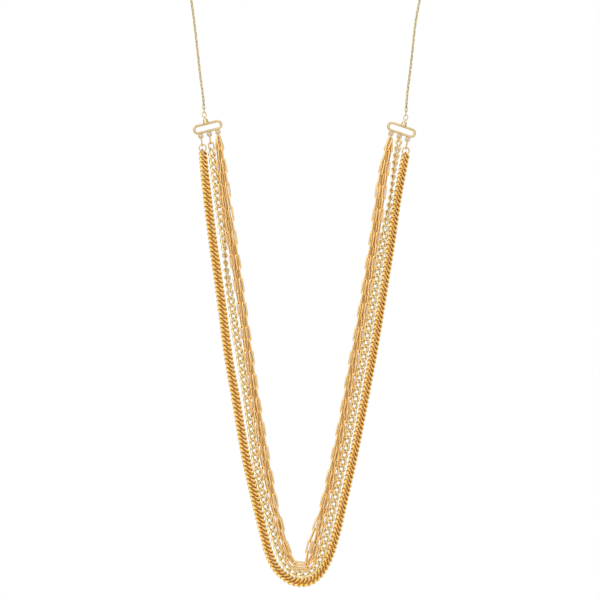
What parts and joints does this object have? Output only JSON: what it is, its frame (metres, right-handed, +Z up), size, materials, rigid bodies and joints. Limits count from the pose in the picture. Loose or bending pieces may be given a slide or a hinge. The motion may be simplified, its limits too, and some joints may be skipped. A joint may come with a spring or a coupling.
{
  "type": "multi strand necklace",
  "caption": "Long necklace of mixed chains hung from two slotted connector frames on a fine neck chain, held in its worn form.",
  "frame": {"origin": "where the clasp bears on the nape of the neck, midway between the two sides", "axes": "+Z up, the front of the necklace towards -Y, +X to the right as seen from the front"},
  "size_m": [0.1514, 0.1154, 0.4143],
  "materials": {
    "polished_gold": "polished gold plating",
    "fine_gold": "fine pale gold chain",
    "pale_gold": "pale gold plating, soft polish",
    "deep_gold": "deep gold plating, amber in the hollows",
    "champagne_gold": "champagne gold plating, polished",
    "strand_gold": "gold plating, polished"
  },
  "bodies": {
    "root": {"clasp": "polished_gold", "neck_chain_left": "fine_gold", "neck_chain_right": "fine_gold", "top_ring_left": "polished_gold", "top_ring_right": "polished_gold", "connector_left": "pale_gold", "connector_right": "pale_gold", "outer_link_left": "polished_gold", "outer_link_right": "polished_gold", "outer_ring_left": "polished_gold", "outer_ring_right": "polished_gold", "middle_link_left": "polished_gold", "middle_ring_left": "polished_gold", "middle_ring_right": "polished_gold", "inner_ring_left": "polished_gold", "inner_ring_right": "polished_gold", "outer_chain": "deep_gold", "middle_chain_left": "champagne_gold", "middle_chain_right": "champagne_gold", "strand_bundle": "strand_gold", "loose_strand": "strand_gold"}
  },
  "joints": []
}
